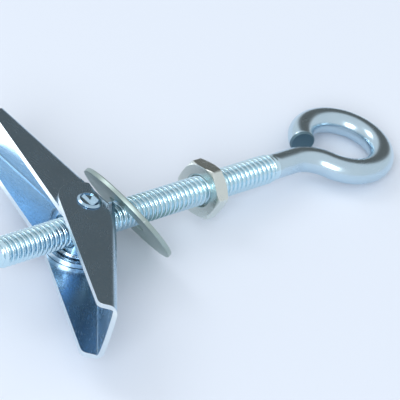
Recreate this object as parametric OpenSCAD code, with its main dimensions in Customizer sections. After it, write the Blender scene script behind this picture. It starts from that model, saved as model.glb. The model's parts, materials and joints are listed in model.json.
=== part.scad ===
// Spring toggle bolt with a closed eye: a threaded rod bent into an eye, a hex nut,
// a loose washer, and a pair of sprung channel wings on a trunnion nut.
// It lies at rest: the eye's far end and the lower rim of the leaning washer
// touch the surface at z = 0, and the rod slopes down towards the eye.

/* [Eye bolt] */
// Outside diameter of the threaded rod
rod_d = 6.25; // [6:0.05:8]
// Length of the thread from the free end
thread_len = 78.7; // [72:0.1:120]
// Plain straight length between the thread and the bend in the neck
plain_len = 6.4; // [2:0.1:20]
// Chamfer on the free end of the rod
rod_chamfer = 0.8; // [0.2:0.1:1.2]
// Diameter of the unthreaded rod that makes the neck and the eye
eye_rod_d = 5.5; // [4.5:0.1:6]
// Clear hole through the eye
eye_hole_d = 12.7; // [10:0.1:24]
// Centre-line radius of the reverse bend in the neck
neck_bend_r = 8; // [6:0.5:12]
// Gap between the cut end of the eye and the neck
eye_gap = 0.7; // [0.3:0.1:3]

/* [Hex nut] */
// Width across flats
nut_af = 11; // [10:0.1:14]
// Thickness of the nut
nut_h = 3.2; // [2.5:0.1:6]
// Chamfer on the nut's corners, measured across the corner
nut_chamfer = 0.75; // [0.3:0.05:1]
// Distance from the free end to the nut's near face
nut_at = 56.4; // [54:0.1:72]
// Turn of the nut about the rod
nut_turn = 18; // [0:1:60]

/* [Washer] */
// Outside diameter of the washer
washer_d = 24.4; // [20:0.1:32]
// Diameter of the washer's hole
washer_hole_d = 9.5; // [8.5:0.1:11.5]
// Thickness of the washer
washer_t = 1; // [0.6:0.1:1.6]
// Distance from the wings' webs to the middle of the leaning washer
washer_stand = 7.2; // [6.5:0.1:12]

/* [Toggle] */
// Distance from the free end to the pivot of the wings
toggle_at = 23; // [20:0.5:24]
// Thickness of the wings' sheet
sheet_t = 1; // [0.7:0.05:1.2]
// Length of a wing from the pivot to the flange's end
wing_len = 32.6; // [28:0.1:45]
// Height of the outside of the web above the pivot
web_h = 6.1; // [5.8:0.05:7]
// Radius of the ears around the pivot
ear_r = 6.3; // [5:0.1:6.5]
// Slope of a flange's free edge to the web
edge_slope = 14.5; // [8:0.5:16]
// Distance from the pivot to where a flange leaves the web
flange_start = 5.6; // [5.2:0.1:8]
// Swell of the web's end beyond the flanges' ends
web_swell = 1.2; // [0.4:0.1:2]
// Outside radius of the bends
bend_r = 1.1; // [0.8:0.05:1.4]
// Opening angle of the outer wing, from the free end of the rod
outer_open = 48.7; // [20:0.1:90]
// Opening angle of the inner wing, from the free end of the rod
inner_open = 89.5; // [60:0.1:90]

/* [Trunnion nut and spring] */
// Length of the trunnion nut along the rod
trunnion_len = 8.4; // [7:0.1:9]
// Width of the trunnion nut across the rod
trunnion_w = 11; // [9:0.1:12]
// Diameter of the pivot pins
pin_d = 4.4; // [3.5:0.1:5]
// How far a staked head spreads beyond its pin all round
pin_flare = 0.7; // [0.4:0.1:1.2]
// Height of a staked head above the outer wing
pin_head_h = 0.8; // [0.5:0.1:1.2]
// Diameter of the spring's wire
spring_wire_d = 0.42; // [0.3:0.01:0.6]
// Turns of the spring on each side of the rod
spring_turns = 3; // [1:1:3]
// Length of the spring's legs from the pivot
spring_leg = 11; // [7:0.5:15]

/* [Hidden] */
$fn = 96;
over = 1;                    // how far a cutting shape runs past what it cuts

// Clearances
run_gap = 0.05;              // radial, rod or pin in its bore
side_gap = 0.09;             // between the faces of the two wings' flanges
nut_side_gap = 0.06;         // between the trunnion nut and the inner wing
spring_gap = 0.05;           // between the spring and the boss or web that it lies against
coil_gap = 0.03;             // between a coil's end and the face beside it
ear_gap = 0.06;              // between the inner wing's ears and the outer wing's slots

// Eye and neck
shank_len = thread_len + plain_len;
ring_r = (eye_hole_d + eye_rod_d) / 2;
neck_run = sqrt(ring_r * ring_r + 2 * ring_r * neck_bend_r);
neck_turn = atan2(neck_run, neck_bend_r);
ring_at = shank_len + neck_run;
ring_start = 270 - neck_turn;
neck_d = eye_rod_d - 0.04;   // the reverse bend draws the rod a little thinner
// The eye's end stops where it comes eye_gap close to the bend in the neck
bend_apart = ring_r + neck_bend_r;
end_apart = neck_bend_r + eye_rod_d + eye_gap;
end_angle = 90 - neck_turn + acos((end_apart * end_apart - ring_r * ring_r
            - bend_apart * bend_apart) / (2 * ring_r * bend_apart));

// Washer: it leans about Y until the edges of its hole bind on the rod
washer_at = toggle_at + web_h + washer_stand;
washer_lean = acos((rod_d + 2 * run_gap) / norm([washer_hole_d, washer_t]))
              - atan2(washer_t, washer_hole_d);
washer_low = [washer_at + washer_d / 2 * sin(washer_lean) - washer_t / 2 * cos(washer_lean),
              -washer_d / 2 * cos(washer_lean) - washer_t / 2 * sin(washer_lean)];

// Rest: the surface touches the washer's rim and the far end of the eye
rest_run = ring_at + ring_r - washer_low[0];
rest_drop = -washer_low[1];
rest_pitch = atan2(rest_drop, rest_run)
             - asin(eye_rod_d / 2 / sqrt(rest_run * rest_run + rest_drop * rest_drop));
rest_z = washer_low[1] * cos(rest_pitch) - washer_low[0] * sin(rest_pitch);

// Middle of the whole part at rest, seen from above
wing_reach = wing_len + web_swell;
x_low = -(rod_d / 2 - rod_chamfer) * sin(rest_pitch);
x_high = (ring_at + ring_r) * cos(rest_pitch) + eye_rod_d / 2;
y_low = -(wing_reach * sin(outer_open) + web_h * cos(outer_open));
y_high = wing_reach * sin(inner_open) + web_h * cos(inner_open);

// Widths, built up from the rod outwards: nut block, spring, inner wing, outer wing
block_half = rod_d / 2 + run_gap + 0.03;
nut_half = block_half + spring_turns * spring_wire_d + 2 * coil_gap;
inner_w = 2 * (nut_half + nut_side_gap + sheet_t);
wing_w = inner_w + 2 * (side_gap + sheet_t);

// Wings
inner_face = web_h - sheet_t;
swell_r = (wing_w * wing_w / 4 + web_swell * web_swell) / (2 * web_swell);
tip_round = 1.3;
folded = 3;                  // angle of a folded wing from the free end of the rod
// The webs' prongs end on the line halfway between the two wings
prong_tip = -inner_face * tan(max(0, (180 - outer_open - inner_open) / 2)) + ear_gap;
// The notch clears the rod, and its root meets the rod when a wing stands square to it
notch_half = rod_d / 2 + 0.55;
notch_root = rod_d / 2 + 0.55;
// The outer wing's slots let the inner wing's ears through when both are folded
slot_half = inner_w / 2 + ear_gap;
ear_lean = 90 - edge_slope - 2 * folded;
slot_root = max(notch_root, (ear_r - inner_face * sin(ear_lean)) / cos(ear_lean) + 0.4);

// Trunnion nut: a block around the rod, round bosses, pins and staked heads.
// The block's corners are turned down to swing clear of the webs' notches.
block_reach = norm([inner_face, notch_root - 0.4]);
boss_r = inner_face - 2 * spring_gap - spring_wire_d - 0.24;
head_at = wing_w / 2 + side_gap;
pin_head_d = pin_d + 2 * pin_flare;
groove_w = 1.3;
groove_depth = 0.6;

// Spring: coils on the bosses, two free legs and a bridge that joins the other two legs
spring_r = boss_r + spring_gap + spring_wire_d / 2;
spring_pitch = spring_wire_d - 0.01;   // the turns touch
coil_z = (block_half + nut_half) / 2;
leg_b = inner_face - spring_gap - spring_wire_d / 2;
leg_lean = atan2(leg_b - spring_r, spring_leg);
leg_len = spring_leg / cos(leg_lean);

// A cylinder of the given diameter and length along +X
module bar(d, len) {
    rotate([0, 90, 0]) cylinder(d = d, h = len);
}

// A bent bar in the XY plane around the origin, from one angle through a turn
module bend(r, d, from, turn) {
    rotate([0, 0, from]) rotate_extrude(angle = turn) translate([r, 0]) circle(d = d);
}

// Puts what is drawn along the rod's own axis into the resting position
module at_rest() {
    translate([-(x_low + x_high) / 2, -(y_low + y_high) / 2, -rest_z])
        rotate([0, rest_pitch, 0]) children();
}

module eye_bolt() {
    color("lightsteelblue") at_rest() {
        rotate([0, 90, 0]) cylinder(d1 = rod_d - 2 * rod_chamfer, d2 = rod_d, h = rod_chamfer);
        translate([rod_chamfer, 0, 0]) bar(rod_d, thread_len - rod_chamfer);
        translate([thread_len, 0, 0]) bar(eye_rod_d, shank_len - thread_len);
        translate([shank_len, -neck_bend_r, 0])
            bend(neck_bend_r, neck_d, 90 - neck_turn, neck_turn);
        translate([ring_at, 0, 0])
            bend(ring_r, eye_rod_d, ring_start, 360 + end_angle - ring_start);
    }
}

module hex_nut() {
    corner_r = nut_af / 2 / cos(30);
    cone_r = corner_r - nut_chamfer;
    color("silver") at_rest() translate([nut_at, 0, 0]) rotate([nut_turn, 0, 0])
        rotate([0, 90, 0]) difference() {
            intersection() {
                rotate([0, 0, 30]) cylinder(r = corner_r, h = nut_h, $fn = 6);
                // Cones at 30 degrees to the faces round the corners
                rotate_extrude() polygon([[0, 0], [cone_r, 0],
                    [cone_r + nut_h / 2 / tan(30), nut_h / 2], [cone_r, nut_h], [0, nut_h]]);
            }
            translate([0, 0, -over]) cylinder(d = rod_d + 2 * run_gap, h = nut_h + 2 * over);
        }
}

module washer() {
    color("gainsboro") at_rest() translate([washer_at, 0, 0])
        rotate([0, 90 - washer_lean, 0]) difference() {
            cylinder(d = washer_d, h = washer_t, center = true);
            cylinder(d = washer_hole_d, h = washer_t + 2 * over, center = true);
        }
}

// Puts a wing's own frame on the pivot: X along the wing, Y towards its web.
// The outer wing opens towards -Y, and the inner wing is turned over to open towards +Y.
module outer_side(open) {
    translate([toggle_at, 0, 0]) rotate([0, 0, 180 + open]) children();
}

module inner_side(open) {
    translate([toggle_at, 0, 0]) rotate([0, 0, 180 - open]) mirror([0, 1, 0]) children();
}

// Side view of a wing: round ear, sloping free edge, rounded tip, straight cut edge and web
module wing_side() {
    ear_touch = ear_r * [sin(edge_slope), -cos(edge_slope)];
    tip_x = wing_len - tip_round;
    tip_y = -ear_r / cos(edge_slope) + tip_x * tan(edge_slope) + tip_round / cos(edge_slope);
    tip_touch = [tip_x, tip_y] + tip_round * [sin(edge_slope), -cos(edge_slope)];
    difference() {
        circle(r = ear_r);
        polygon([[-ear_r, 0], [flange_start, web_h], [flange_start, 2 * web_h],
                 [-2 * ear_r, 2 * web_h], [-2 * ear_r, 0]]);
    }
    translate([tip_x, tip_y]) circle(r = tip_round);
    polygon([[-ear_r, 0], ear_touch, tip_touch, [wing_len, tip_y], [wing_len, web_h],
             [flange_start, web_h]]);
    translate([prong_tip, inner_face]) square([wing_reach - prong_tip, sheet_t]);
}

// Section across a wing's channel, Y towards the web: outline with rounded bends
module channel_outline(w, r) {
    translate([-w / 2, -wing_reach]) square([w, wing_reach + web_h - r]);
    translate([r - w / 2, 0]) square([w - 2 * r, web_h]);
    for (x = [r - w / 2, w / 2 - r]) translate([x, web_h - r]) circle(r = r);
}

// A wing of the given outside width, in its own frame, without its notch
module wing_blank(w) {
    difference() {
        intersection() {
            translate([0, 0, -w / 2]) linear_extrude(w) wing_side();
            translate([-wing_reach, 0, 0]) rotate([90, 0, 90])
                linear_extrude(2 * wing_reach) channel_outline(w, bend_r);
            // The end of the web swells in a shallow arc
            translate([wing_reach - swell_r, 0, 0]) rotate([90, 0, 0])
                cylinder(r = swell_r, h = 4 * web_h, center = true);
        }
        translate([-wing_reach, -wing_reach, sheet_t - w / 2])
            cube([2 * wing_reach + over, wing_reach + inner_face, w - 2 * sheet_t]);
        cylinder(r = pin_d / 2 + run_gap, h = w + 2 * over, center = true);
    }
}

// A box that cuts the web back from its prongs' tips to x, between -half and half
module web_cut(x, half) {
    translate([prong_tip - over, inner_face - over, -half])
        cube([x - prong_tip + over, sheet_t + 2 * over, 2 * half]);
}

module wing_outer() {
    slot_w = sheet_t + 2 * ear_gap;
    color("steelblue") at_rest() outer_side(outer_open) difference() {
        wing_blank(wing_w);
        web_cut(notch_root, slot_half);
        for (z = [-slot_half, slot_half - slot_w])
            translate([0, inner_face - over, z])
                cube([slot_root, sheet_t + 2 * over, slot_w]);
    }
}

module wing_inner() {
    color("cornflowerblue") at_rest() inner_side(inner_open) difference() {
        wing_blank(inner_w);
        web_cut(notch_root, notch_half);
    }
}

// One side of the trunnion nut: boss, pin and staked head with its groove
module trunnion_end() {
    difference() {
        union() {
            cylinder(r = boss_r, h = nut_half);
            cylinder(d = pin_d, h = head_at + pin_head_h);
            translate([0, 0, head_at]) cylinder(d = pin_head_d, h = pin_head_h);
        }
        translate([0, 0, head_at + pin_head_h]) rotate([90, 0, 0])
            linear_extrude(pin_head_d + 2 * over, center = true)
                polygon([[-groove_w / 2, 0], [0, -groove_depth], [groove_w / 2, 0],
                         [groove_w / 2, over], [-groove_w / 2, over]]);
    }
}

module trunnion_nut() {
    color("lightblue") at_rest() translate([toggle_at, 0, 0]) difference() {
        union() {
            translate([0, 0, -block_half]) linear_extrude(2 * block_half) intersection() {
                square([trunnion_len, trunnion_w], center = true);
                circle(r = block_reach);
            }
            trunnion_end();
            mirror([0, 0, 1]) trunnion_end();
        }
        translate([-trunnion_len, 0, 0]) bar(rod_d + 2 * run_gap, 2 * trunnion_len);
    }
}

// One leg of the spring, from the coil along the inside of a web, at height z
module spring_leg_at(z) {
    translate([0, spring_r, z]) rotate([0, 0, leg_lean]) bar(spring_wire_d, leg_len);
}

module torsion_spring() {
    color("whitesmoke") at_rest() {
        for (z = [-coil_z, coil_z]) {
            translate([toggle_at, 0, z]) for (k = [0 : spring_turns - 1])
                translate([0, 0, (k - (spring_turns - 1) / 2) * spring_pitch])
                    rotate_extrude() translate([spring_r, 0]) circle(d = spring_wire_d, $fn = 24);
            outer_side(outer_open) spring_leg_at(z);
            inner_side(inner_open) spring_leg_at(z);
        }
        inner_side(inner_open) translate([spring_leg, leg_b, 0]) {
            cylinder(d = spring_wire_d, h = 2 * coil_z, center = true);
            for (z = [-coil_z, coil_z]) translate([0, 0, z]) sphere(d = spring_wire_d, $fn = 24);
        }
    }
}

eye_bolt();
trunnion_nut();
torsion_spring();
wing_outer();
wing_inner();
washer();
hex_nut();
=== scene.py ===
"""Looks of a spring toggle bolt: an eye bolt, a hex nut, a loose washer and a sprung toggle.

Every piece is drawn in millimetres on the rod's own axes, with the wings' pivot as
the origin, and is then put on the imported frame, in metres.
"""

import json
import logging
import math
from dataclasses import dataclass
from enum import Enum
from functools import cache, partial
from typing import Callable, Iterable, Sequence

import bmesh
import bpy
from mathutils import Matrix, Vector
from mathutils.geometry import delaunay_2d_cdt


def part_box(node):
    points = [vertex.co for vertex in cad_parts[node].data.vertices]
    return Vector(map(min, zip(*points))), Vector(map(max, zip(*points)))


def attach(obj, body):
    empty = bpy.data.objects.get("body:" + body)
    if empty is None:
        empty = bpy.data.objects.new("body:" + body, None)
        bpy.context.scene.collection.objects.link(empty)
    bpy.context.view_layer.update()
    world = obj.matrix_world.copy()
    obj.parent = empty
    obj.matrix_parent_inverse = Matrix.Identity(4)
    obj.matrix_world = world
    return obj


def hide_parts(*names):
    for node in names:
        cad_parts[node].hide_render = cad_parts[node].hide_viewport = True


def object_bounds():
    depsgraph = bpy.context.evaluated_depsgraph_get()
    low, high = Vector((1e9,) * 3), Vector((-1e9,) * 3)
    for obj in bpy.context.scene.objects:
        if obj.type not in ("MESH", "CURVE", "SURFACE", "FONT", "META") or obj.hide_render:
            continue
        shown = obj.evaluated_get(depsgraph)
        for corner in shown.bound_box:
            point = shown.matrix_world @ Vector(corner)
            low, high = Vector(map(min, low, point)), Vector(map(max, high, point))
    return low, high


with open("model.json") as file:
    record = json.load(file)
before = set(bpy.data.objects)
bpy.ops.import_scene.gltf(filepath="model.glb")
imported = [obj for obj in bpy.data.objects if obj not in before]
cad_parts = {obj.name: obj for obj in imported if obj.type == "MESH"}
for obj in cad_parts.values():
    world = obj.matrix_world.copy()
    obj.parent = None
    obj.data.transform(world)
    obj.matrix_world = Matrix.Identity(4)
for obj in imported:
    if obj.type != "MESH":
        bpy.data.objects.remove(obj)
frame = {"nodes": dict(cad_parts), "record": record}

LOG = logging.getLogger("toggle_bolt")
CAD_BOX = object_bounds()
MM = 0.001
WELD = 2e-7  # points nearer than this, in metres, are one point
HOLES_OUT = 4  # the triangulation's mode that keeps the drawn lines and leaves holes out

Piece, Material = bpy.types.Object, bpy.types.Material
Node, Socket, Tree = bpy.types.Node, bpy.types.NodeSocket, bpy.types.NodeTree
Point = tuple[float, float]
Faces = list[tuple[int, ...]]


# ---------------- frame

class Station:
    """The rod's own axes, with the wings' pivot as the origin and millimetres as the unit."""

    def __init__(self, record: dict) -> None:
        """Reads the axes and the pivot from the joints.

        Args:
            record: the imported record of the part.
        """
        behaviour = record["behaviour"]
        joints = {joint["name"]: joint for joint in behaviour["joints"]}
        self.mounts = {mount["name"]: mount for mount in record["mounts"]}
        along = Vector(joints["toggle_travel"]["axis"]).normalized()
        pivot = Vector(joints["inner_wing_fold"]["axis"]).normalized()
        across = pivot.cross(along)
        turn = Matrix((along, across, pivot)).transposed().to_4x4()
        place = Matrix.Translation(Vector(joints["inner_wing_fold"]["pos_m"]))
        self.to_row = place @ turn @ Matrix.Scale(MM, 4)
        self.from_row = self.to_row.inverted()

    def mount(self, name: str) -> Vector:
        """Returns a named mount's place on the rod's axes, in millimetres from the pivot."""
        return self.from_row @ Vector(self.mounts[name]["pos_m"])

    def middle(self, node: str) -> Vector:
        """Returns the middle of a CAD node's box, in millimetres from the pivot."""
        low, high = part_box(node)
        return self.from_row @ ((Vector(low) + Vector(high)) / 2)

    def reach(self, node: str) -> tuple[float, float]:
        """Returns a CAD node's least and greatest distance along the rod from the pivot."""
        ends = [(self.from_row @ v.co).x for v in frame["nodes"][node].data.vertices]
        return min(ends), max(ends)


# ---------------- nodes and finishes

def add_node(tree: Tree, kind: str, inputs: dict | None = None, **settings: object) -> Node:
    """Adds a node with its settings, its values and its links.

    Args:
        tree: the shader or geometry tree.
        kind: the node's type name.
        inputs: a value, a hex colour or a socket to link, for each input by name or number.
        **settings: the node's own properties.

    Returns:
        The new node.
    """
    node = tree.nodes.new(kind)
    for name, value in settings.items():
        setattr(node, name, value)
    for key, value in (inputs or {}).items():
        if isinstance(value, Socket):
            tree.links.new(value, node.inputs[key])
        else:
            node.inputs[key].default_value = linear(value) if isinstance(value, str) else value
    return node


def linear(code: str) -> tuple[float, float, float, float]:
    """Turns an sRGB hex colour to a linear one.

    Args:
        code: the colour, such as "#9FB4C2".

    Returns:
        Linear red, green and blue, and full alpha.
    """
    parts = [int(code[i:i + 2], 16) / 255 for i in (1, 3, 5)]
    red, green, blue = (c / 12.92 if c <= 0.04045 else ((c + 0.055) / 1.055) ** 2.4
                        for c in parts)
    return red, green, blue, 1.0


def start_material(name: str) -> tuple[Material, Tree, Node]:
    """Starts a node-based material.

    Args:
        name: its name.

    Returns:
        The material, its tree and its shader.
    """
    material = bpy.data.materials.new(name)
    material.use_nodes = True
    tree = material.node_tree
    return material, tree, tree.nodes["Principled BSDF"]


class Grain(Enum):
    """How a metal surface was worked, which sets the direction of its fine lines."""

    ROLLED_THREAD = "rolled thread"
    DRAWN_BAR = "drawn bar"
    ROLLED_SHEET = "rolled sheet"
    SHEARED = "sheared edge"
    TUMBLED = "tumbled"
    DRAWN_WIRE = "drawn wire"


@dataclass(frozen=True)
class ZincFinish:
    """Electroplated zinc with a passivated skin, over steel worked in one of several ways."""

    name: str
    slot: str
    base: str
    cloud: str
    grain: Grain
    roughness: float
    spread: float = 0.06
    cloud_mm: float = 6.0
    glint: str = "#E6EEF2"
    glint_mm: float = 0.5
    glint_share: float = 0.0
    glint_gain: float = 0.7
    line_mm: float = 0.25
    line_ratio: float = 12.0
    bump_mm: float = 0.004

    @cache
    def build(self) -> Material:
        """Builds the material on its first use, and gives the same one after that.

        Returns:
            The node-based material.
        """
        material, tree, shader = start_material(self.name)
        shader.inputs["Metallic"].default_value = 1.0
        given = add_node(tree, "ShaderNodeTexCoord").outputs
        place = given["Object"]
        # A sheet's lines follow its flat blank, so they turn with each bend
        in_blank = self.grain in (Grain.ROLLED_SHEET, Grain.SHEARED)
        grain = given["UV"] if in_blank else place

        # Slow clouds in the passivation's tint, a few millimetres wide
        cloud = add_node(tree, "ShaderNodeTexNoise",
                         {"Vector": place, "Scale": 1 / (self.cloud_mm * MM),
                          "Detail": 3.0, "Roughness": 0.55})
        colour = add_node(tree, "ShaderNodeMix",
                          {0: cloud.outputs[0], 6: self.base, 7: self.cloud},
                          data_type="RGBA").outputs[2]

        # Fine lines along the worked direction
        stretch = (1.0, self.line_ratio, self.line_ratio)
        if self.grain == Grain.SHEARED:
            stretch = (self.line_ratio, 1.0, 1.0)
        if self.grain == Grain.TUMBLED:
            stretch = (1.0, 1.0, 1.0)
        lined = add_node(tree, "ShaderNodeVectorMath", {0: grain, 1: stretch},
                         operation="MULTIPLY")
        lines = add_node(tree, "ShaderNodeTexNoise",
                         {"Vector": lined.outputs[0],
                          "Scale": 1 / (self.line_mm * self.line_ratio * MM),
                          "Detail": 4.0, "Roughness": 0.65})

        # Painted glints: pale flecks in the colour, where single crystals of zinc would catch the
        # light
        if self.glint_share > 0:
            cells = add_node(tree, "ShaderNodeTexVoronoi",
                             {"Vector": place, "Scale": 1 / (self.glint_mm * MM)})
            glint_mask = add_node(tree, "ShaderNodeMapRange",
                              {0: cells.outputs["Color"], 1: 1 - self.glint_share, 2: 1.0,
                               3: 0.0, 4: self.glint_gain})
            colour = add_node(tree, "ShaderNodeMix",
                              {0: glint_mask.outputs[0], 6: colour, 7: self.glint},
                              data_type="RGBA").outputs[2]
        tree.links.new(colour, shader.inputs["Base Color"])

        both = add_node(tree, "ShaderNodeMath",
                        {0: lines.outputs[0], 1: cloud.outputs[0]}, operation="ADD")
        rough = add_node(tree, "ShaderNodeMapRange",
                         {0: both.outputs[0], 1: 0.7, 2: 1.3,
                          3: max(self.roughness - self.spread, 0.02),
                          4: self.roughness + self.spread})
        tree.links.new(rough.outputs[0], shader.inputs["Roughness"])
        bump = add_node(tree, "ShaderNodeBump",
                        {"Strength": 1.0, "Distance": self.bump_mm * MM,
                         "Height": lines.outputs[0]})
        tree.links.new(bump.outputs[0], shader.inputs["Normal"])
        return material


# Bright blue-passivated zinc on a rolled thread: clear highlights along every crest
THREAD_ZINC = ZincFinish("blue_zinc_rolled_thread", "rod_zinc", "#D6EEF7", "#C4E2EF",
                         Grain.ROLLED_THREAD, 0.22, line_mm=0.4, bump_mm=0.002)
# The same zinc on smooth drawn bar: mirror-like, with long soft draw lines
BAR_ZINC = ZincFinish("blue_zinc_drawn_bar", "rod_zinc", "#CCDFE9", "#BAD2E0",
                      Grain.DRAWN_BAR, 0.25, spread=0.04, cloud_mm=9.0, line_mm=0.5,
                      bump_mm=0.002)
# Zinc on the cropped end of the bar: darker and duller than the bar
CUT_ZINC = ZincFinish("blue_zinc_cropped_end", "rod_zinc", "#6F8994", "#5F7984",
                      Grain.TUMBLED, 0.42, line_mm=0.3, bump_mm=0.01)
# Zinc on cold-rolled sheet: satin, grey-blue, with pale flecks painted in as the glints of fine
# crystals
SHEET_ZINC = ZincFinish("blue_zinc_rolled_sheet", "wing_zinc", "#B2CDE2", "#ABC8DE",
                        Grain.ROLLED_SHEET, 0.26, spread=0.03, glint_share=0.5,
                        glint_gain=0.3, glint_mm=0.25,
                        line_mm=0.18, line_ratio=9.0, bump_mm=0.001)
# Sheared edges of the sheet, with lines through the thickness; their paler colour is a painted
# highlight along the rims
EDGE_HIGHLIGHT_ZINC = ZincFinish("blue_zinc_sheared_edge", "wing_zinc", "#E2ECF1", "#D3E0E8",
                       Grain.SHEARED, 0.30, line_mm=0.15, line_ratio=6.0, bump_mm=0.01)
# Dull barrel-plated zinc: semi-matt and greenish grey, with a few painted glints
DULL_ZINC = ZincFinish("dull_barrel_zinc", "washer_zinc", "#AFBFBA", "#A0B1AD",
                       Grain.TUMBLED, 0.40, spread=0.08, glint_share=0.08, glint_mm=0.5,
                       line_mm=0.6, bump_mm=0.01)
# Clear bright zinc on a pressed nut: pale, a little warm, with a few painted glints
NUT_ZINC = ZincFinish("clear_bright_zinc", "nut_zinc", "#E3E9E3", "#D0D9D6",
                      Grain.TUMBLED, 0.26, glint_share=0.05, line_mm=0.8, bump_mm=0.008)
# Blue zinc on the machined trunnion: smooth faces that mirror the sheet round them
BLOCK_ZINC = ZincFinish("blue_zinc_trunnion", "nut_zinc", "#B6D2E4", "#A9C7DA",
                        Grain.TUMBLED, 0.20, spread=0.04, line_mm=0.8, bump_mm=0.004)
# Bright drawn spring wire: thin and mirror-like
WIRE_STEEL = ZincFinish("bright_drawn_wire", "spring_steel", "#D3DBDF", "#C2CDD3",
                        Grain.DRAWN_WIRE, 0.14, spread=0.04, line_mm=0.1)


# ---------------- mesh tools

def add_object(name: str, data: bpy.types.ID) -> Piece:
    """Makes an object at the origin and links it to the scene.

    Args:
        name: the object's name.
        data: its mesh, curve, lamp or camera.

    Returns:
        The object.
    """
    made = bpy.data.objects.new(name, data)
    bpy.context.collection.objects.link(made)
    return made


def close_up(points: Iterable[Vector], faces: Faces, name: str, place: Matrix) -> Piece:
    """Makes an object from points and faces, with doubles merged and faces turned outwards.

    Args:
        points: the points, in millimetres.
        faces: the corner numbers of each face.
        name: the object's name.
        place: the matrix from the points to the frame.

    Returns:
        The object, at the origin, with its place in its mesh.
    """
    mesh = bpy.data.meshes.new(name)
    mesh.from_pydata([place @ Vector(p) for p in points], [], faces)
    work = bmesh.new()
    work.from_mesh(mesh)
    bmesh.ops.remove_doubles(work, verts=work.verts, dist=WELD)
    bmesh.ops.recalc_face_normals(work, faces=work.faces)
    work.to_mesh(mesh)
    work.free()
    return add_object(name, mesh)


def settle(piece: Piece) -> Piece:
    """Turns an object's evaluated shape into its plain mesh and removes its modifiers.

    Args:
        piece: a mesh or curve object.

    Returns:
        A mesh object with the same name.
    """
    bpy.context.view_layer.update()
    graph = bpy.context.evaluated_depsgraph_get()
    mesh = bpy.data.meshes.new_from_object(piece.evaluated_get(graph), depsgraph=graph)
    name = piece.name
    if piece.type == "MESH":
        piece.modifiers.clear()
        piece.data = mesh
    else:
        bpy.data.objects.remove(piece)
        piece = add_object(name, mesh)
    mesh.name = name
    return piece


def shade(piece: Piece, angle: float) -> None:
    """Shades a mesh smooth, with sharp edges above an angle in degrees."""
    piece.data.shade_smooth()
    piece.data.set_sharp_from_angle(angle=math.radians(angle))


def soften(piece: Piece, width_mm: float, angle: float, steps: int = 2,
           edge_slot: int = -1) -> None:
    """Rounds a mesh's edges and evens the shading of its flat faces.

    Args:
        piece: the mesh object.
        width_mm: the width of the rounding.
        angle: edges sharper than this, in degrees, are rounded.
        steps: the number of faces across the rounding.
        edge_slot: the material slot of the rounding, or -1 for its neighbours'.
    """
    bevel = piece.modifiers.new("edges", "BEVEL")
    bevel.width = width_mm * MM
    bevel.segments = steps
    bevel.limit_method = "ANGLE"
    bevel.angle_limit = math.radians(angle)
    bevel.material = edge_slot
    bevel.use_clamp_overlap = True
    weighted = piece.modifiers.new("shading", "WEIGHTED_NORMAL")
    weighted.keep_sharp = True
    weighted.weight = 60


def rounded(corners: Sequence[tuple[float, float, float]], steps: int = 5) -> list[Point]:
    """Rounds the corners of a closed outline.

    Args:
        corners: each corner's two coordinates and its radius.
        steps: the number of lines in each rounding.

    Returns:
        The points of the outline.
    """
    out: list[Point] = []
    for i, (x, y, radius) in enumerate(corners):
        here = Vector((x, y))
        back = Vector(corners[i - 1][:2]) - here
        ahead = Vector(corners[(i + 1) % len(corners)][:2]) - here
        if radius <= 0:
            out.append((x, y))
            continue
        half = back.angle(ahead) / 2
        cut = min(radius / math.tan(half), back.length * 0.49, ahead.length * 0.49)
        start, end = here + back.normalized() * cut, here + ahead.normalized() * cut
        for k in range(steps + 1):
            t = k / steps
            spot = start * (1 - t) ** 2 + here * 2 * t * (1 - t) + end * t * t
            out.append((spot.x, spot.y))
    return out


def spun(outline: Callable[[float], Sequence[Point]], sides: int) -> tuple[list[Vector], Faces]:
    """Spins a closed outline of radii and heights round the Z axis.

    Args:
        outline: gives the radius and height of each point at an angle in degrees.
        sides: the number of steps round the axis.

    Returns:
        The points and the faces of a closed shape.
    """
    turns = (360 * k / sides for k in range(sides))
    loops = [(math.radians(turn), outline(turn)) for turn in turns]
    points = [Vector((r * math.cos(a), r * math.sin(a), h)) for a, loop in loops for r, h in loop]
    profile = loops[0][1]
    n = len(profile)
    faces: Faces = []
    for k in range(sides):
        a, b = k * n, (k + 1) % sides * n
        for i in range(n):
            j = (i + 1) % n
            if profile[i][0] > 1e-9 or profile[j][0] > 1e-9:
                faces.append((a + i, a + j, b + j, b + i))
    return points, faces


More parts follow.
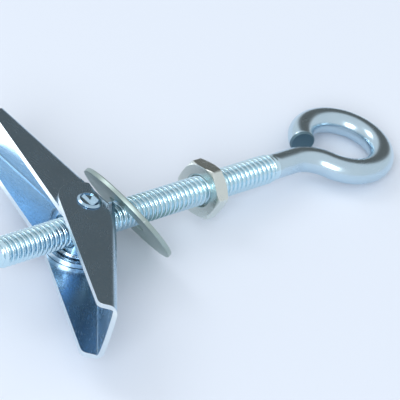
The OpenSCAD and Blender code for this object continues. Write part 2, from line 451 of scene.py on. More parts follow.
class GeometryTree:
    """A Geometry Nodes tree with named inputs, ended by Realize Instances and Set Material."""

    def __init__(self, name: str, sizes: dict[str, str]) -> None:
        """Starts the tree.

        Args:
            name: the tree's name.
            sizes: the socket type of each named input.
        """
        self.tree = bpy.data.node_groups.new(name, "GeometryNodeTree")
        sockets = self.tree.interface
        sockets.new_socket("Geometry", in_out="INPUT", socket_type="NodeSocketGeometry")
        for label, kind in sizes.items():
            sockets.new_socket(label, in_out="INPUT", socket_type=kind)
        sockets.new_socket("Material", in_out="INPUT", socket_type="NodeSocketMaterial")
        sockets.new_socket("Geometry", in_out="OUTPUT", socket_type="NodeSocketGeometry")
        self.given = self.add("NodeGroupInput").outputs

    def add(self, kind: str, inputs: dict | None = None, **settings: object) -> Node:
        """Adds a node to the tree; see add_node."""
        return add_node(self.tree, kind, inputs, **settings)

    def math(self, operation: str, *values: object) -> Socket:
        """Adds a math node on values or sockets and returns its result."""
        return self.add("ShaderNodeMath", dict(enumerate(values)),
                        operation=operation).outputs[0]

    def end(self, geometry: Socket) -> None:
        """Ends the tree with its finished geometry, made real and given its material.

        Args:
            geometry: the finished geometry.
        """
        real = self.add("GeometryNodeRealizeInstances", {0: geometry})
        dressed = self.add("GeometryNodeSetMaterial",
                           {"Geometry": real.outputs[0], "Material": self.given["Material"]})
        self.add("NodeGroupOutput", {0: dressed.outputs[0]})

    def run(self, piece: Piece, **values: object) -> Piece:
        """Runs the tree on an object and keeps the result as a plain mesh.

        Args:
            piece: the object that carries the input geometry.
            **values: a value for each input; an underscore stands for a space.

        Returns:
            The finished mesh object.
        """
        modifier = piece.modifiers.new(self.tree.name, "NODES")
        modifier.node_group = self.tree
        for item in self.tree.interface.items_tree:
            key = item.name.lower().replace(" ", "_")
            if item.in_out == "INPUT" and key in values:
                modifier[item.identifier] = values[key]
        return settle(piece)


def thread_tree() -> GeometryTree:
    """Builds the tree of a rolled thread: a grid wound round X whose radius follows a helix.

    Returns:
        The tree, with its sizes in metres as inputs.
    """
    real, whole = "NodeSocketFloat", "NodeSocketInt"
    made = GeometryTree("rolled_thread", {
        "Length": real, "Pitch": real, "Crest Radius": real, "Root Radius": real,
        "Plain Radius": real, "Chamfer": real, "Runout": real, "Rows": whole, "Sides": whole})
    given, calc = made.given, made.math
    step = calc("DIVIDE", given["Length"], given["Rows"])
    # One row more at each end closes the end on the axis
    sheet = made.add("GeometryNodeMeshGrid", {
        "Size X": calc("ADD", given["Length"], calc("MULTIPLY", step, 2.0)),
        "Size Y": 2 * math.pi, "Vertices X": calc("ADD", given["Rows"], 3.0),
        "Vertices Y": calc("ADD", given["Sides"], 1.0)})
    spot = made.add("ShaderNodeSeparateXYZ", {0: made.add("GeometryNodeInputPosition").outputs[0]})
    raw = calc("ADD", spot.outputs["X"], calc("DIVIDE", given["Length"], 2.0))
    along = calc("MAXIMUM", calc("MINIMUM", raw, given["Length"]), 0.0)
    angle = spot.outputs["Y"]
    edge = calc("MULTIPLY", step, 0.5)
    inside = calc("MULTIPLY", calc("GREATER_THAN", raw, calc("MULTIPLY", edge, -1.0)),
                  calc("LESS_THAN", raw, calc("ADD", given["Length"], edge)))
    turns = calc("SUBTRACT", calc("DIVIDE", along, given["Pitch"]),
                 calc("DIVIDE", angle, 2 * math.pi))
    # 0 on a crest and 1 in a root, with a flat at each and a smooth flank between them
    crest_flat, root_flat = 0.18, 0.80
    apart = calc("MULTIPLY", calc("ABSOLUTE", calc("SUBTRACT", calc("FRACT", turns), 0.5)), 2.0)
    flank = made.add("ShaderNodeMapRange", {
        0: apart, 1: crest_flat, 2: root_flat, 3: given["Crest Radius"], 4: given["Root Radius"]},
        interpolation_type="SMOOTHSTEP")
    lead = calc("ADD", calc("SUBTRACT", given["Crest Radius"], given["Chamfer"]), along)
    cut = calc("MINIMUM", flank.outputs[0], lead)
    fade = made.add("ShaderNodeMapRange", {
        0: along, 1: calc("SUBTRACT", given["Length"], given["Runout"]), 2: given["Length"]},
        interpolation_type="SMOOTHSTEP").outputs[0]
    radius = calc("ADD", calc("MULTIPLY", cut, calc("SUBTRACT", 1.0, fade)),
                  calc("MULTIPLY", given["Plain Radius"], fade))
    held = calc("MULTIPLY", radius, inside)
    wound = made.add("ShaderNodeCombineXYZ", {
        0: along, 1: calc("MULTIPLY", held, calc("COSINE", angle)),
        2: calc("MULTIPLY", held, calc("SINE", angle))})
    moved = made.add("GeometryNodeSetPosition",
                     {"Geometry": sheet.outputs["Mesh"], "Position": wound.outputs[0]})
    joined = made.add("GeometryNodeMergeByDistance",
                      {"Geometry": moved.outputs[0], "Distance": 1e-6})
    made.end(joined.outputs[0])
    return made


def sweep_tree() -> GeometryTree:
    """Builds the tree of a round bar or wire swept along a curve, with chamfered ends.

    Returns:
        The tree, with its sizes in metres as inputs.
    """
    real, whole = "NodeSocketFloat", "NodeSocketInt"
    made = GeometryTree("swept_bar", {"Radius": real, "Chamfer": real, "Sides": whole})
    given, calc = made.given, made.math
    ring = made.add("GeometryNodeCurvePrimitiveCircle",
                    {"Resolution": given["Sides"], "Radius": given["Radius"]})
    run = made.add("GeometryNodeSplineParameter").outputs["Length"]
    left = calc("SUBTRACT", made.add("GeometryNodeSplineLength").outputs["Length"], run)
    near = calc("MINIMUM", run, left)
    small = calc("SUBTRACT", 1.0, calc("DIVIDE", given["Chamfer"], given["Radius"]))
    size = made.add("ShaderNodeMapRange", {0: near, 1: 0.0, 2: given["Chamfer"], 3: small, 4: 1.0})
    body = made.add("GeometryNodeCurveToMesh", {
        "Curve": given["Geometry"], "Profile Curve": ring.outputs["Curve"],
        "Scale": size.outputs[0], "Fill Caps": True})
    made.end(body.outputs[0])
    return made


def path(name: str, points: Sequence[Vector], place: Matrix) -> Piece:
    """Makes an open curve through points.

    Args:
        name: the object's name.
        points: the points, in millimetres.
        place: the matrix from the points to the frame.

    Returns:
        The curve object.
    """
    curve = bpy.data.curves.new(name, "CURVE")
    curve.dimensions = "3D"
    line = curve.splines.new("POLY")
    line.points.add(len(points) - 1)
    for knot, point in zip(line.points, points):
        knot.co = (*(place @ point), 1.0)
    return add_object(name, curve)


def arc(centre: Point, radius: float, start: float, end: float, step: float = 3.0) -> list[Point]:
    """Returns points along an arc.

    Args:
        centre: its centre.
        radius: its radius.
        start: the angle it starts at, in degrees.
        end: the angle it ends at.
        step: the largest angle between points.

    Returns:
        The points, with both ends.
    """
    count = max(2, math.ceil(abs(end - start) / step))
    out = []
    for k in range(count + 1):
        a = math.radians(start + (end - start) * k / count)
        out.append((centre[0] + radius * math.cos(a), centre[1] + radius * math.sin(a)))
    return out


def dress(piece: Piece, finish: ZincFinish, body: str, nodes: Sequence[str] = ()) -> None:
    """Gives a piece its finish and its body, and hides the CAD nodes that it stands for.

    Args:
        piece: the finished mesh object.
        finish: its main finish.
        body: the CAD body that it rides on.
        nodes: the CAD nodes that it replaces.
    """
    if not piece.data.materials:
        piece.data.materials.append(finish.build())
    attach(piece, body)
    if nodes:
        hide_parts(*nodes)
    LOG.info("%s rides on %s with %d faces", piece.name, body, len(piece.data.polygons))


# ---------------- eye bolt

@dataclass
class EyeBolt:
    """The rod: a rolled thread, a plain neck and a closed eye."""

    station: Station
    crest_r: float = 3.12
    root_r: float = 2.42
    pitch: float = 1.27
    thread_len: float = 78.7
    plain_len: float = 6.4
    runout: float = 2.4
    chamfer: float = 0.8
    bar_r: float = 2.75
    ring_r: float = 9.08
    neck_bend_r: float = 8.0
    end_angle: float = 154.0
    end_chamfer: float = 0.3
    sides: int = 96
    rows_per_turn: int = 12
    joint: float = 0.6
    tuck: float = 0.02

    def thread(self, tree: GeometryTree) -> Piece:
        """Builds the threaded length.

        Args:
            tree: the rolled thread's tree.

        Returns:
            The mesh object.
        """
        start = self.station.reach("eye_bolt")[0]
        holder = add_object("rod_thread", bpy.data.meshes.new("rod_thread"))
        piece = tree.run(holder, length=self.thread_len * MM, pitch=self.pitch * MM,
                         crest_radius=self.crest_r * MM, root_radius=self.root_r * MM,
                         plain_radius=(self.bar_r - self.tuck) * MM, chamfer=self.chamfer * MM,
                         runout=self.runout * MM, sides=self.sides, material=THREAD_ZINC.build(),
                         rows=round(self.thread_len / self.pitch * self.rows_per_turn))
        move = self.station.to_row @ Matrix.Translation((start, 0, 0)) @ Matrix.Scale(1 / MM, 4)
        piece.data.transform(move)
        shade(piece, 80)
        return piece

    def centre_line(self) -> list[Vector]:
        """Returns the middle line of the neck and the eye, in millimetres from the pivot.

        Returns:
            The points, from the thread to the eye's cut end.
        """
        shank = self.station.reach("eye_bolt")[0] + self.thread_len
        bend_at = shank + self.plain_len
        centre = self.station.mount("eye").x
        turn = math.degrees(math.atan2(centre - bend_at, self.neck_bend_r))
        # The bar starts inside the thread's end, which is tucked under it
        points: list[Point] = [(shank - self.joint, 0.0), (shank, 0.0)]
        points += [(shank + self.plain_len * k / 6, 0.0) for k in range(1, 6)]
        points += arc((bend_at, -self.neck_bend_r), self.neck_bend_r, 90, 90 - turn)
        points += arc((centre, 0.0), self.ring_r, 270 - turn, 360 + self.end_angle)[1:]
        return [Vector((x, y, 0.0)) for x, y in points]

    def eye(self, tree: GeometryTree) -> Piece:
        """Builds the plain neck and the eye, with a darker, duller material on the cropped end.

        Args:
            tree: the swept bar's tree.

        Returns:
            The mesh object.
        """
        points = self.centre_line()
        line = path("neck_and_eye", points, self.station.to_row)
        piece = tree.run(line, radius=self.bar_r * MM, chamfer=self.end_chamfer * MM, sides=64,
                         material=BAR_ZINC.build())
        piece.data.materials.append(CUT_ZINC.build())
        tip = self.station.to_row @ points[-1]
        along = (tip - self.station.to_row @ points[-2]).normalized()
        for polygon in piece.data.polygons:
            past = polygon.center - tip
            if past.length < self.bar_r * MM and past.dot(along) > -self.end_chamfer * MM:
                polygon.material_index = 1
        shade(piece, 40)
        return piece

    def build(self, threads: GeometryTree, sweep: GeometryTree) -> None:
        """Builds and dresses the rod."""
        dress(self.thread(threads), THREAD_ZINC, "bolt", ["eye_bolt"])
        dress(self.eye(sweep), BAR_ZINC, "bolt")


# ---------------- nut and washer

@dataclass
class HexNut:
    """A hex nut with both faces chamfered at 30 degrees."""

    station: Station
    across: float = 11.0
    thick: float = 3.2
    chamfer: float = 0.75
    turn: float = 18.0
    bore_r: float = 3.17
    sink: float = 0.45
    edge: float = 0.12
    blunt: float = 0.10
    sides: int = 240

    def outline(self, angle: float) -> list[Point]:
        """Returns the nut's outline at one angle round the bore.

        Args:
            angle: the angle in degrees; the corners are at multiples of 60.

        Returns:
            Radius and height of each point, from the middle of the bore up and round.
        """
        corner = self.across / 2 / math.cos(math.radians(30))
        flat = (angle % 60) - 30
        side = min(self.across / 2 / math.cos(math.radians(flat)), corner - self.blunt)
        cone = corner - self.chamfer
        top, edge = self.thick / 2, self.edge
        face = min(cone, side)
        drop = max(side - cone, 0.0) * math.tan(math.radians(30))
        # Countersunk bore, flat face, a small round on its rim, the chamfer and the side
        upper = [(self.bore_r, 0.0), (self.bore_r, top - self.sink),
                 (self.bore_r + self.sink - edge / 2, top - edge / 2),
                 (self.bore_r + self.sink + edge / 2, top), (face - edge, top),
                 (face - edge * 0.3, top - edge * 0.12),
                 (max(face, side - edge * 0.7), top - max(drop - edge * 0.2, edge * 0.3)),
                 (side, top - drop - edge * 0.8)]
        return upper + [(r, -h) for r, h in reversed(upper[1:])]

    def build(self) -> None:
        """Builds and dresses the nut."""
        points, faces = spun(self.outline, self.sides)
        near = self.station.mount("nut_face").x
        place = (self.station.to_row @ Matrix.Translation((near + self.thick / 2, 0, 0))
                 @ Matrix.Rotation(math.radians(self.turn), 4, "X")
                 @ Matrix.Rotation(math.radians(90), 4, "Y"))
        piece = close_up(points, faces, "hex_nut_body", place)
        shade(piece, 22)
        dress(piece, NUT_ZINC, "nut", ["hex_nut"])


@dataclass
class Washer:
    """A stamped plain washer that leans on the rod."""

    station: Station
    outer_r: float = 12.19
    hole_r: float = 4.76
    thick: float = 0.99
    lean: float = 42.33
    roll: float = 0.28
    crisp: float = 0.08

    def build(self) -> None:
        """Builds and dresses the washer: rounded on the punch's side, crisp on the other."""
        half = self.thick / 2
        profile = rounded([(self.hole_r, -half, self.roll), (self.outer_r, -half, self.crisp),
                           (self.outer_r, half, self.roll), (self.hole_r, half, self.crisp)])
        points, faces = spun(lambda angle: profile, 192)
        place = (self.station.to_row @ Matrix.Translation(self.station.middle("washer"))
                 @ Matrix.Rotation(math.radians(90 - self.lean), 4, "Y"))
        piece = close_up(points, faces, "plain_washer", place)
        shade(piece, 35)
        dress(piece, DULL_ZINC, "loose_washer", ["washer"])


# ---------------- toggle wings

@dataclass
class Wing:
    """A channel-shaped wing, cut from sheet as a flat blank and folded along two bends."""

    station: Station
    node: str
    body: str
    width: float
    opening: float
    over: bool
    notch_half: float
    slot_in: float = 0.0
    slot_root: float = 0.0
    notch_root: float = 3.675
    sheet: float = 1.0
    length: float = 32.59
    web_h: float = 6.1
    ear_r: float = 6.3
    slope: float = 14.5
    flange_start: float = 5.6
    swell: float = 1.2
    bend_out: float = 2.0
    bend_crisp: float = 16.0
    tip_round: float = 1.3
    prong_tip: float = -1.89
    prong_under: float = 1.4
    prong_corner: Point = (0.25, 0.2)
    nick_run: float = 0.5
    nick: Point = (0.15, 0.12)
    cut_under: float = 1.8
    notch_r: float = 0.5
    pin_hole_r: float = 2.25
    edge: float = 0.2
    bend_steps: int = 8
    web_steps: int = 12

    def __post_init__(self) -> None:
        """Works out the sizes of the bends."""
        self.bend_mid = self.bend_out - self.sheet / 2
        self.bend_len = self.bend_mid * math.pi / 2
        self.bend_y = self.web_h - self.bend_out
        self.flat = self.width / 2 - self.bend_out

    def across_at(self, y: float) -> float:
        """Returns the blank's coordinate across, for a height on the flange's outside.

        Args:
            y: the height from the pivot towards the web.

        Returns:
            The distance from the blank's middle.
        """
        if y <= self.bend_y:
            return self.flat + self.bend_len + self.bend_y - y
        return self.flat + self.bend_mid * math.acos(min((y - self.bend_y) / self.bend_out, 1.0))

    def across_z(self, z: float) -> float:
        """Returns the blank's coordinate across, for a distance on the web's inside.

        Args:
            z: the distance from the channel's middle plane.

        Returns:
            The distance from the blank's middle.
        """
        if z <= self.flat:
            return z
        return self.flat + self.bend_mid * math.atan2(z - self.flat, self.bend_out - self.sheet)

    def fold(self, x: float, s: float, outside: bool) -> Vector:
        """Folds a point of the blank into the channel.

        The bend is round outside and nearly square inside, where the punch pressed it.

        Args:
            x: the distance from the pivot along the wing.
            s: the distance from the blank's middle.
            outside: whether the point is on the channel's outside or its inside.

        Returns:
            The point in the wing's own frame.
        """
        side, span = math.copysign(1, s), abs(s)
        turn = min(max(span - self.flat, 0.0) / self.bend_mid, math.pi / 2)
        over = max(span - self.flat - self.bend_len, 0.0)
        up, out = math.cos(turn), math.sin(turn)
        radius = self.bend_out
        if not outside:
            crisp = self.bend_crisp
            radius = (radius - self.sheet) / (up ** crisp + out ** crisp) ** (1 / crisp)
        z = min(span, self.flat) + radius * out
        return Vector((x, self.bend_y + radius * up - over, side * z))

    def half_blank(self) -> list[Point]:
        """Returns one half of the blank's outline, from the notch's middle round to the end's.

        Returns:
            Distance along the wing and across the blank, for each point.
        """
        rise = math.radians(self.slope)
        tip_x = self.length - self.tip_round
        tip_y = (-self.ear_r / math.cos(rise) + tip_x * math.tan(rise)
                 + self.tip_round / math.cos(rise))
        # The prong is what is left of the web beside the notch; it stops in the bend
        prong_y = self.web_h - self.prong_under
        under = self.across_at(prong_y)
        gain = (self.flange_start + self.ear_r) / self.web_h
        line_x = -self.ear_r + gain * prong_y
        notch = self.across_z(self.notch_half)
        cut_x, cut_s = self.prong_corner
        out: list[Point] = [(self.notch_root, 0.0)]
        if self.slot_in:
            inner = self.across_z(self.slot_in)
            out += [(self.notch_root, inner), (self.slot_root, inner), (self.slot_root, notch)]
        else:
            out += arc((self.notch_root - self.notch_r, notch - self.notch_r), self.notch_r,
                       0, 90, 20)
        out += [(self.prong_tip + cut_x, notch), (self.prong_tip, notch + cut_s),
                (self.prong_tip, under - cut_s), (self.prong_tip + cut_x, under),
                (line_x - self.nick_run, under), (line_x - self.nick[0], under + self.nick[1])]
        # Straight cut down to the ear, then the ear, the sloping edge and the rounded tip
        out += [(-self.ear_r + gain * y, self.across_at(y))
                for y in (self.web_h - self.cut_under, 0.0)]
        start = -90 + self.slope
        out += [(x, self.across_at(y)) for x, y in arc((0, 0), self.ear_r, -180, start)[1:]]
        tip = arc((tip_x, tip_y), self.tip_round, start, 0, 10)
        out += [(x, self.across_at(y)) for x, y in tip]
        swell_r = (self.width ** 2 / 4 + self.swell ** 2) / (2 * self.swell)
        top = self.length + self.swell - swell_r
        half_steps = self.bend_steps // 2
        spans = [self.flat + self.bend_len * k / half_steps for k in range(half_steps, 0, -1)]
        spans += [self.flat * k / self.web_steps for k in range(self.web_steps, -1, -1)]
        for s in spans:
            z = self.fold(0, s, True).z
            out.append((top + math.sqrt(swell_r ** 2 - z * z), s))
        return out

    def blank(self) -> tuple[list[Point], list[tuple[int, ...]]]:
        """Cuts the blank, split along the bends.

        Returns:
            The blank's points and its faces.
        """
        half = self.half_blank()
        loop = [(x, -s) for x, s in half] + list(reversed(half[1:-1]))
        holes = [[(x, s0 + s) for x, s in arc((0, 0), self.pin_hole_r, 0, 360, 6)[:-1]]
                 for s0 in (self.across_at(0), -self.across_at(0))]
        points: list[Point] = list(loop)
        loops = [tuple(range(len(loop)))]
        for hole in holes:
            loops.append(tuple(range(len(points), len(points) + len(hole))))
            points += hole
        # Holes run the other way, so a face of the blank lies within every loop
        loops[1:] = [tuple(reversed(hole)) for hole in loops[1:]]
        # Lines along each bend, and one through the pin's hole, so no face has a hole in it
        rows = [self.flat + self.bend_len * k / self.bend_steps
                for k in range(self.bend_steps + 1)] + [self.across_at(0)]
        edges = []
        for s in [side * row for side in (1, -1) for row in rows]:
            edges.append((len(points), len(points) + 1))
            points += [(-2 * self.ear_r, s), (2 * self.length, s)]
        corners = [Vector(p) for p in points]
        flat = delaunay_2d_cdt(corners, edges, loops, HOLES_OUT, 1e-5)
        faces = [tuple(f) for f, source in zip(flat[2], flat[5]) if len(source) == len(loops)]
        return [(v.x, v.y) for v in flat[0]], faces

    def build(self) -> None:
        """Builds and dresses the wing."""
        flat, faces = self.blank()
        count = len(flat)
        points = [self.fold(x, s, outside) for outside in (True, False) for x, s in flat]
        used: dict[tuple[int, int], int] = {}
        for face in faces:
            for a, b in zip(face, face[1:] + face[:1]):
                used[a, b] = used.get((a, b), 0) + 1
        rim = [(a, b) for a, b in used if (b, a) not in used]
        shell = list(faces) + [tuple(i + count for i in reversed(f)) for f in faces]
        shell += [(b, a, a + count, b + count) for a, b in rim]

        open_turn = 180 + self.opening if self.over else 180 - self.opening
        place = self.station.to_row @ Matrix.Rotation(math.radians(open_turn), 4, "Z")
        if not self.over:
            place = place @ Matrix.Rotation(math.pi, 4, "X")
        mesh = bpy.data.meshes.new(self.node + "_sheet")
        mesh.from_pydata([place @ p for p in points], [], shell)
        layer = mesh.uv_layers.new(name="blank")
        for loop in mesh.loops:
            x, s = flat[loop.vertex_index % count]
            layer.data[loop.index].uv = (x * MM, s * MM)
        mesh.materials.append(SHEET_ZINC.build())
        # The cut edges take the second material, painted paler than the sheet as a highlight along
        # the rims
        mesh.materials.append(EDGE_HIGHLIGHT_ZINC.build())
        for polygon in mesh.polygons:
            polygon.material_index = 1 if polygon.index >= 2 * len(faces) else 0
        work = bmesh.new()
        work.from_mesh(mesh)
        bmesh.ops.delete(work, geom=[v for v in work.verts if not v.link_faces],
                         context="VERTS")
        bmesh.ops.recalc_face_normals(work, faces=work.faces)
        work.to_mesh(mesh)
        work.free()
        piece = add_object(self.node + "_sheet", mesh)
        shade(piece, 32)
        # The rounded rims also take the edge material, with its painted highlight
        soften(piece, self.edge, angle=40, edge_slot=1)
        settle(piece)
        dress(piece, SHEET_ZINC, self.body, [self.node])


# ---------------- trunnion nut and spring

@dataclass
class TrunnionNut:
    """The block that the rod screws through, with a boss and a staked pin on each side."""

    station: Station
    length: float = 8.4
    width: float = 10.4
    half_h: float = 3.2
    corner_r: float = 5.3
    bore_r: float = 3.17
    boss_r: float = 4.33
    boss_h: float = 4.52
    pin_r: float = 2.2
    root_in: float = 0.3
    boss_round: float = 0.2
    head_at: float = 6.78
    head_r: float = 2.5
    head_top: float = 7.56
    head_lift: float = 0.02
    collar_foot: float = 0.1
    collar_run: float = 0.5
    collar_round: float = 0.06
    moat_in: float = 0.6
    moat_up: float = 0.06
    stub_r: float = 1.75
    stub_draft: float = 0.01
    stub_foot: float = 0.4
    stub_mid: float = 0.6
    stub_lean: float = 0.55
    stub_low: float = 0.16
    stub_high: float = 1.1
    wedge_turn: float = 58.0
    wedge_back: float = 0.3
    wedge_spread: float = 0.55
    wedge_floor: float = 0.22
    fine_step: float = 0.12
    sink: float = 0.5
    edge: float = 0.22
    crisp: float = 0.05

    def block(self) -> None:
        """Builds the block, with its corners turned down and a countersunk bore."""
        x, y = self.length / 2, self.width / 2
        start, end = math.acos(x / self.corner_r), math.asin(y / self.corner_r)
        quarter = arc((0, 0), self.corner_r, math.degrees(start), math.degrees(end), 3)
        outline = quarter + [(-a, b) for a, b in reversed(quarter)]
        outline += [(-a, -b) for a, b in quarter] + [(a, -b) for a, b in reversed(quarter)]
        n = len(outline)
        points = [Vector((a, b, h)) for h in (-self.half_h, self.half_h) for a, b in outline]
        faces: Faces = [tuple(reversed(range(n))), tuple(range(n, 2 * n))]
        faces += [(i, (i + 1) % n, n + (i + 1) % n, n + i) for i in range(n)]
        piece = close_up(points, faces, "trunnion_block", self.station.to_row)
        sink = self.sink
        profile = [(0.0, -x - 1), (self.bore_r + sink + 1, -x - 1), (self.bore_r + sink, -x),
                   (self.bore_r, -x + sink), (self.bore_r, x - sink), (self.bore_r + sink, x),
                   (self.bore_r + sink + 1, x + 1), (0.0, x + 1)]
        place = self.station.to_row @ Matrix.Rotation(math.radians(90), 4, "Y")
        cutter = close_up(*spun(lambda angle: profile, 64), "bore_cutter", place)
        cut = piece.modifiers.new("bore", "BOOLEAN")
        cut.operation, cut.solver, cut.object = "DIFFERENCE", "EXACT", cutter
        settle(piece)
        bpy.data.objects.remove(cutter)
        shade(piece, 30)
        soften(piece, self.edge, angle=35, steps=3)
        settle(piece)
        dress(piece, BLOCK_ZINC, "trunnion", ["trunnion_nut"])

    def staked(self, point: Vector) -> Vector:
        """Presses the chisel's wedge into the stub of the staked head.

        Args:
            point: a point of the turned shape.

        Returns:
            The point after staking.
        """
        if point.z < self.head_at + self.stub_foot or point.xy.length > self.stub_r:
            return point
        a = math.radians(self.wedge_turn)
        far = point.x * math.cos(a) + point.y * math.sin(a) + self.wedge_back
        off = abs(-point.x * math.sin(a) + point.y * math.cos(a))
        # The stub's top leans, and a flat-floored wedge widens from its middle to one side
        height = min(max(self.stub_mid + self.stub_lean * point.x, self.stub_low),
                     self.stub_high)
        if off < self.wedge_spread * far:
            height = self.wedge_floor
        return Vector((point.x, point.y, self.head_at + height))

    def pins(self) -> None:
        """Builds both pins: boss, pin and a head staked with a collar and a chisel notch."""
        top, at, r, crisp = self.head_top, self.head_at, self.head_r, self.crisp
        root, moat = self.half_h - self.root_in, at + self.moat_up
        # From the boss's root inside the block, up the pin, over the conical collar, across
        # the moat that the staking tool left and up the stub
        profile = rounded([
            (0.0, root, 0), (self.boss_r, root, 0), (self.boss_r, self.boss_h, self.boss_round),
            (self.pin_r, self.boss_h, crisp), (self.pin_r, at - crisp, crisp),
            (r, at + self.head_lift, crisp), (r, at + self.collar_foot, crisp),
            (r - self.collar_run, at + self.collar_run, self.collar_round),
            (r - self.moat_in, moat, crisp), (self.stub_r + self.stub_draft, moat, crisp),
            (self.stub_r - crisp, top, crisp), (0.0, top, 0)], 4)
        fine: list[Point] = []
        for (r0, h0), (r1, h1) in zip(profile, profile[1:]):
            length = math.hypot(r1 - r0, h1 - h0)
            count = max(1, math.ceil(length / self.fine_step)) if h1 > at else 1
            fine += [(r0 + (r1 - r0) * k / count, h0 + (h1 - h0) * k / count)
                     for k in range(count)]
        fine.append(profile[-1])
        points, faces = spun(lambda angle: fine, 96)
        points = [self.staked(p) for p in points]
        for name, turn in (("staked_pin_upper", 0.0), ("staked_pin_lower", math.pi)):
            place = self.station.to_row @ Matrix.Rotation(turn, 4, "X")
            piece = close_up(points, faces, name, place)
            shade(piece, 30)
            dress(piece, BLOCK_ZINC, "trunnion")


@dataclass
class TorsionSpring:
    """A double torsion spring: a coil on each boss, two free legs and a bridge."""

    station: Station
    outer_open: float
    inner_open: float
    wire_r: float = 0.205
    wire_end: float = 0.05
    coil_r: float = 4.70
    coil_z: float = 3.865
    turns: int = 3
    pitch: float = 0.43
    leg: float = 11.0
    leg_y: float = 4.84
    lead_in: float = 44.0
    bridge_out: float = 0.9
    bridge_corner: float = 0.15

    def leg_line(self, place: Matrix, z: float) -> list[Vector]:
        """Returns a leg from its coil to its end, laid along the inside of a web.

        Args:
            place: the wing's matrix on the rod's axes.
            z: the leg's height.

        Returns:
            The points of the leg.
        """
        count = 8
        return [place @ Vector((self.leg * k / count,
                                self.coil_r + (self.leg_y - self.coil_r) * k / count, z))
                for k in range(count + 1)]

    def coil(self, side: int) -> list[Vector]:
        """Returns a coil's line, from one leg round to the other.

        Args:
            side: 1 for the upper coil and -1 for the lower one.

        Returns:
            The points of the coil.
        """
        # The legs leave the coil where the webs' directions are square to its radius
        start = 180 + self.outer_open + 90
        end = 180 - self.inner_open - 90 + 360
        whole = 360 * self.turns + (end - start) % 360 - 360
        count = 48 * self.turns
        out = []
        for k in range(count + 1):
            share = k / count
            a = math.radians(start - self.lead_in + (whole + self.lead_in) * share)
            z = self.coil_z + (share - 0.5) * self.pitch * (self.turns - 1)
            out.append(Vector((self.coil_r * math.cos(a), self.coil_r * math.sin(a), side * z)))
        return out

    def wire(self, tree: GeometryTree, name: str, points: Sequence[Vector], body: str,
             nodes: Sequence[str] = ()) -> None:
        """Builds and dresses one run of wire.

        Args:
            tree: the swept bar's tree.
            name: the piece's name.
            points: its middle line, in millimetres from the pivot.
            body: the CAD body that it rides on.
            nodes: the CAD nodes that it replaces.
        """
        piece = tree.run(path(name, points, self.station.to_row), radius=self.wire_r * MM,
                         chamfer=self.wire_end * MM, sides=14, material=WIRE_STEEL.build())
        shade(piece, 50)
        dress(piece, WIRE_STEEL, body, nodes)

    def build(self, tree: GeometryTree) -> None:
        """Builds and dresses the spring: coils stay on the bosses, legs go with the wings.

        Args:
            tree: the swept bar's tree.
        """
        wire = partial(self.wire, tree)
        outer = Matrix.Rotation(math.radians(180 + self.outer_open), 4, "Z")
        inner = (Matrix.Rotation(math.radians(180 - self.inner_open), 4, "Z")
                 @ Matrix.Rotation(math.pi, 4, "X"))
        half = self.pitch * (self.turns - 1) / 2
        low, high = self.coil_z - half, self.coil_z + half
        for side, word, nodes in ((1, "upper", ["torsion_spring"]), (-1, "lower", [])):
            wire(f"spring_coil_{word}", self.coil(side), "trunnion", nodes)
            wire(f"spring_leg_{word}", self.leg_line(outer, side * low), "outer_wing")
        legs = [self.leg_line(inner, side * high) for side in (1, -1)]
        ends = [legs[0][-1], legs[1][-1]]
        out = (ends[0] - legs[0][-2]).normalized() * self.bridge_out
        bridge, steps = legs[0][:-1], 12
        for t in (k / steps for k in range(steps + 1)):
            near = min(t, 1 - t)
            round_in = math.sin(math.pi / 2 * near / self.bridge_corner)
            bend = round_in if near < self.bridge_corner else 1.0
            bridge.append(ends[0].lerp(ends[1], t) + out * bend)
        bridge += list(reversed(legs[1][:-1]))
        wire("spring_bridge", bridge, "inner_wing")


# ---------------- studio

@dataclass(frozen=True)
class Sweep:
    """Painted studio sweep: matt, pale blue-white, with a very slight unevenness."""

    paint: str = "#E5ECF5"
    shade: str = "#E2E9F3"

    def build(self) -> Material:
        """Builds the floor's material.

        Returns:
            The node-based material.
        """
        material, tree, shader = start_material("painted_sweep")
        place = add_node(tree, "ShaderNodeTexCoord").outputs["Object"]
        drift = add_node(tree, "ShaderNodeTexNoise",
                         {"Vector": place, "Scale": 6.0, "Detail": 1.0})
        mix = add_node(tree, "ShaderNodeMix",
                       {0: drift.outputs[0], 6: self.paint, 7: self.shade}, data_type="RGBA")
        tree.links.new(mix.outputs[2], shader.inputs["Base Color"])
        shader.inputs["Roughness"].default_value = 0.85
        shader.inputs["Specular IOR Level"].default_value = 0.15
        return material


@dataclass(frozen=True)
class Softbox:
    """A square lamp."""

    name: str
    spot: tuple[float, float, float]
    size: float
    power: float
    colour: str = "#FFFFFF"

    def hang(self) -> Piece:
        """Hangs the lamp at its spot, turned towards the part.

        Returns:
            The lamp's object.
        """
        lamp = bpy.data.lights.new(self.name, "AREA")
        lamp.shape, lamp.size, lamp.energy = "SQUARE", self.size, self.power
        lamp.color = linear(self.colour)[:3]
        holder = add_object(self.name, lamp)
        holder.location = self.spot
        holder.rotation_euler = (-Vector(self.spot)).to_track_quat("-Z", "Y").to_euler()
        return holder


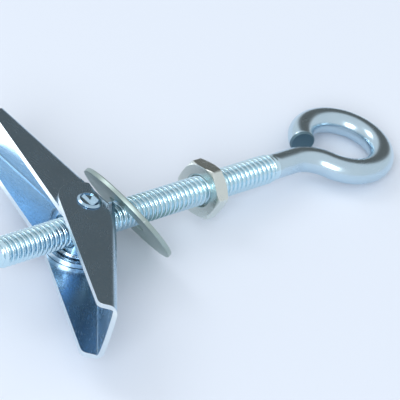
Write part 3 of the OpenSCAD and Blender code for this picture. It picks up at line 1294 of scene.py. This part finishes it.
@dataclass
class Studio:
    """A pale floor, soft light from two sides, a room to mirror, and the camera."""

    eye_at: tuple[float, float, float] = (-0.44526, -0.35521, 0.45417)
    ahead: tuple[float, float, float] = (0.61646, 0.48642, -0.61917)
    upright: tuple[float, float, float] = (0.30030, 0.58168, 0.75596)
    lens: float = 315.0
    floor_from: float = -2.0
    floor_to: float = 0.7
    floor_gap: float = 0.00002
    backdrop: str = "#E6F0FD"
    walls: str = "#F2F6FB"
    dim_part: str = "#70716F"
    dim_way: tuple[float, float, float] = (0.74, 0.50, 0.45)
    dim_rim: Point = (0.80, 0.95)
    strength: float = 0.86
    key: Softbox = Softbox("key_softbox", (-0.55, 1.1, 1.25), 0.7, 4.0, "#FDFDFF")
    fill: Softbox = Softbox("fill_softbox", (-1.5, -0.9, 1.1), 0.9, 22.0, "#FAFBFF")
    card: Softbox = Softbox("bounce_card", (-0.047, 0.047, 0.0005), 0.036, 0.009)

    def floor(self) -> None:
        """Builds the floor that the part lies on."""
        low = CAD_BOX[0].z - self.floor_gap
        a, b = self.floor_from, self.floor_to
        points = [Vector((x, y, low)) for x, y in ((a, a), (b, a), (b, b), (a, b))]
        piece = close_up(points, [(0, 1, 2, 3)], "studio_floor", Matrix.Identity(4))
        piece.data.materials.append(Sweep().build())

    def room(self) -> None:
        """Builds the room: pale walls with one dim part, which the camera sees in metal only."""
        world = bpy.data.worlds.new("studio_room")
        bpy.context.scene.world = world
        world.use_nodes = True
        tree = world.node_tree
        back = tree.nodes["Background"]
        way = add_node(tree, "ShaderNodeTexCoord").outputs["Generated"]
        facing = add_node(tree, "ShaderNodeVectorMath",
                          {0: way, 1: Vector(self.dim_way).normalized()},
                          operation="DOT_PRODUCT")
        rim, middle = self.dim_rim
        dim = add_node(tree, "ShaderNodeMapRange",
                       {0: facing.outputs["Value"], 1: rim, 2: middle},
                       interpolation_type="SMOOTHSTEP")
        colour = add_node(tree, "ShaderNodeMix",
                          {0: dim.outputs[0], 6: self.walls, 7: self.dim_part},
                          data_type="RGBA")
        direct = add_node(tree, "ShaderNodeLightPath").outputs["Is Camera Ray"]
        seen = add_node(tree, "ShaderNodeMix",
                        {0: direct, 6: colour.outputs[2], 7: self.backdrop},
                        data_type="RGBA")
        tree.links.new(seen.outputs[2], back.inputs["Color"])
        back.inputs["Strength"].default_value = self.strength

    def light(self) -> None:
        """Hangs the softboxes, and lays a glowing card that lifts the wings' insides."""
        self.key.hang()
        self.fill.hang()
        card = self.card.hang()
        card.rotation_euler = (math.pi, 0.0, 0.0)
        card.visible_camera = False

    def camera(self) -> None:
        """Sets up the camera."""
        ahead, upright = Vector(self.ahead).normalized(), Vector(self.upright)
        right = ahead.cross(upright).normalized()
        upright = right.cross(ahead)
        data = bpy.data.cameras.new("camera")
        data.lens, data.sensor_width = self.lens, 36.0
        data.clip_start, data.clip_end = 0.05, 20.0
        holder = add_object("camera", data)
        turn = Matrix((right, upright, -ahead)).transposed().to_4x4()
        holder.matrix_world = Matrix.Translation(Vector(self.eye_at)) @ turn
        bpy.context.scene.camera = holder

    def build(self) -> None:
        """Builds the whole studio."""
        self.floor()
        self.room()
        self.light()
        self.camera()
        bpy.context.scene.view_settings.view_transform = "Standard"


def main() -> None:
    """Builds every piece of the toggle bolt and its studio."""
    logging.basicConfig(level=logging.INFO, format="%(message)s")
    station = Station(frame["record"])
    threads, sweep = thread_tree(), sweep_tree()
    # Each wing's angle from the rod, in degrees
    outer_open, inner_open = 48.7, 89.5
    EyeBolt(station).build(threads, sweep)
    HexNut(station).build()
    Washer(station).build()
    Wing(station, "wing_outer", "outer_wing", width=13.35, opening=outer_open, over=True,
         notch_half=5.63, slot_in=4.525, slot_root=4.75).build()
    Wing(station, "wing_inner", "inner_wing", width=11.17, opening=inner_open, over=False,
         notch_half=3.675).build()
    trunnion = TrunnionNut(station)
    trunnion.block()
    trunnion.pins()
    TorsionSpring(station, outer_open, inner_open).build(sweep)
    Studio().build()


if __name__ == "__main__":
    main()
